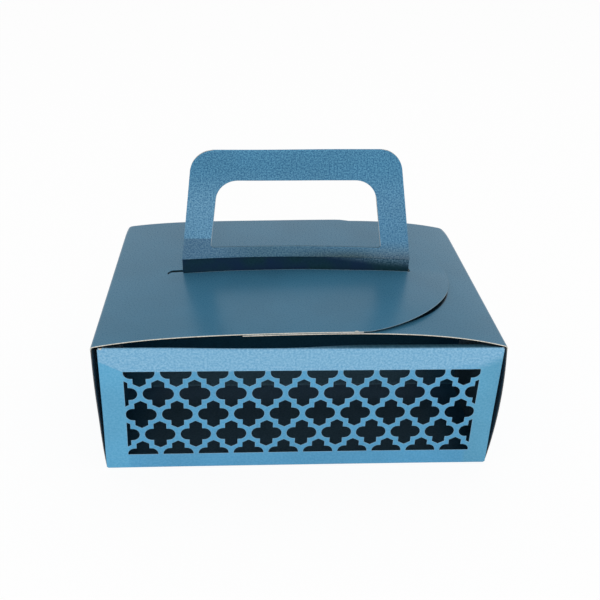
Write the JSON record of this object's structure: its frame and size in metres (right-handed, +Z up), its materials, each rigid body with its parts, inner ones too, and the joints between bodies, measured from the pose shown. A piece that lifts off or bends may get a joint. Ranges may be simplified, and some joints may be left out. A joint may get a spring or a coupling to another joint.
{
  "type": "folded card gift box with handle",
  "caption": "Rectangular folded card gift box with lattice front and rear walls, two overlapping lids that close round a central carrying handle.",
  "frame": {"origin": "centre of the underside, on the surface that the box stands on", "axes": "+X to the right of the lattice front, +Y from the front to the rear, +Z up"},
  "size_m": [0.2482, 0.175, 0.1805],
  "materials": {
    "wall_card": "pearl-coated light blue board, satin",
    "lid_card": "pearl-coated blue board seen at a grazing angle, satin",
    "handle_card": "pearl-coated blue board with a fine pebbled grain",
    "inner_card": "dark navy reverse of the board, dull"
  },
  "bodies": {
    "box": {"base_panel": "inner_card", "front_wall": "wall_card", "rear_wall": "wall_card", "front_hem": "wall_card", "rear_hem": "wall_card", "left_wall": "wall_card", "right_wall": "wall_card", "front_left_flap": "wall_card", "front_right_flap": "wall_card", "rear_left_flap": "wall_card", "rear_right_flap": "wall_card", "divider": "inner_card", "divider_foot": "inner_card"},
    "left_lid": {"left_lid": "lid_card"},
    "right_lid": {"right_lid": "lid_card"},
    "handle": {"handle_rear_ply": "handle_card", "handle_front_ply": "handle_card", "handle_top_fold": "handle_card"}
  },
  "joints": [
    {"name": "left_lid_hinge", "type": "hinge", "parent": "box", "child": "left_lid", "pos_m": [-0.1238, 0, 0.0893], "axis": [0, -1, 0], "range_deg": [0, 180]},
    {"name": "right_lid_hinge", "type": "hinge", "parent": "box", "child": "right_lid", "pos_m": [0.1224, 0, 0.0883], "axis": [0, 1, 0], "range_deg": [0, 90]},
    {"name": "handle_fold", "type": "hinge", "parent": "box", "child": "handle", "pos_m": [0, 0, 0.1045], "axis": [1, 0, 0], "range_deg": [-90, 90]}
  ],
  "couplings": [
    {"joint": "right_lid_hinge", "follows": "left_lid_hinge", "ratio": 0.5}
  ]
}
